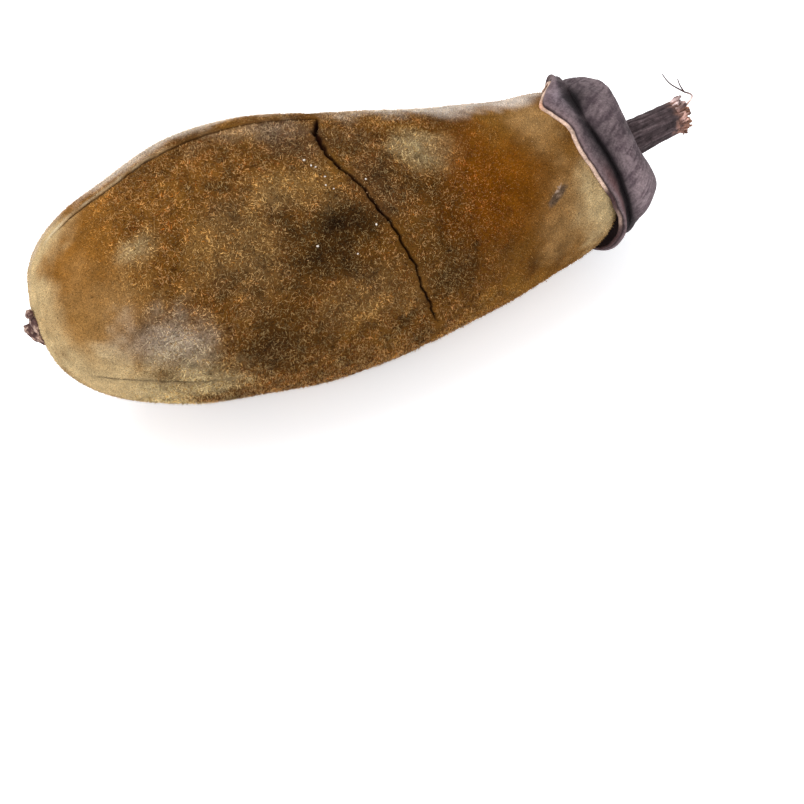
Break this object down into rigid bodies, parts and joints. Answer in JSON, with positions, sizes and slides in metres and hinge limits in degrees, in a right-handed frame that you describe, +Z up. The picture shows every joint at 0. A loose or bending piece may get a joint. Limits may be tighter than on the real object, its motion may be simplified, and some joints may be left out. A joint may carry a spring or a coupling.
{
  "type": "baobab fruit pod",
  "caption": "Whole ripe baobab fruit lying on its side: velvety club-shaped pod with a crack in its shell, folded leathery calyx collar, frayed stalk and dried style remnant.",
  "frame": {"origin": "middle of the bounding box's footprint, on the surface the pod rests on", "axes": "+X along the pod towards the stalk, +Z up, the cracked side of the shell faces -Y"},
  "size_m": [0.249, 0.0902, 0.0915],
  "materials": {
    "velvet_shell": "matte short golden-brown hairs with darker and greyer patches",
    "calyx_skin": "matte dry grey-brown skin with a pale inner edge",
    "stalk_bark": "matte ridged dark bark with tan fibres at the broken end",
    "stub_bark": "rough matte dried style remnant"
  },
  "bodies": {
    "root": {"pod": "velvet_shell", "calyx": "calyx_skin", "stalk": "stalk_bark", "style_stub": "stub_bark"}
  },
  "joints": []
}
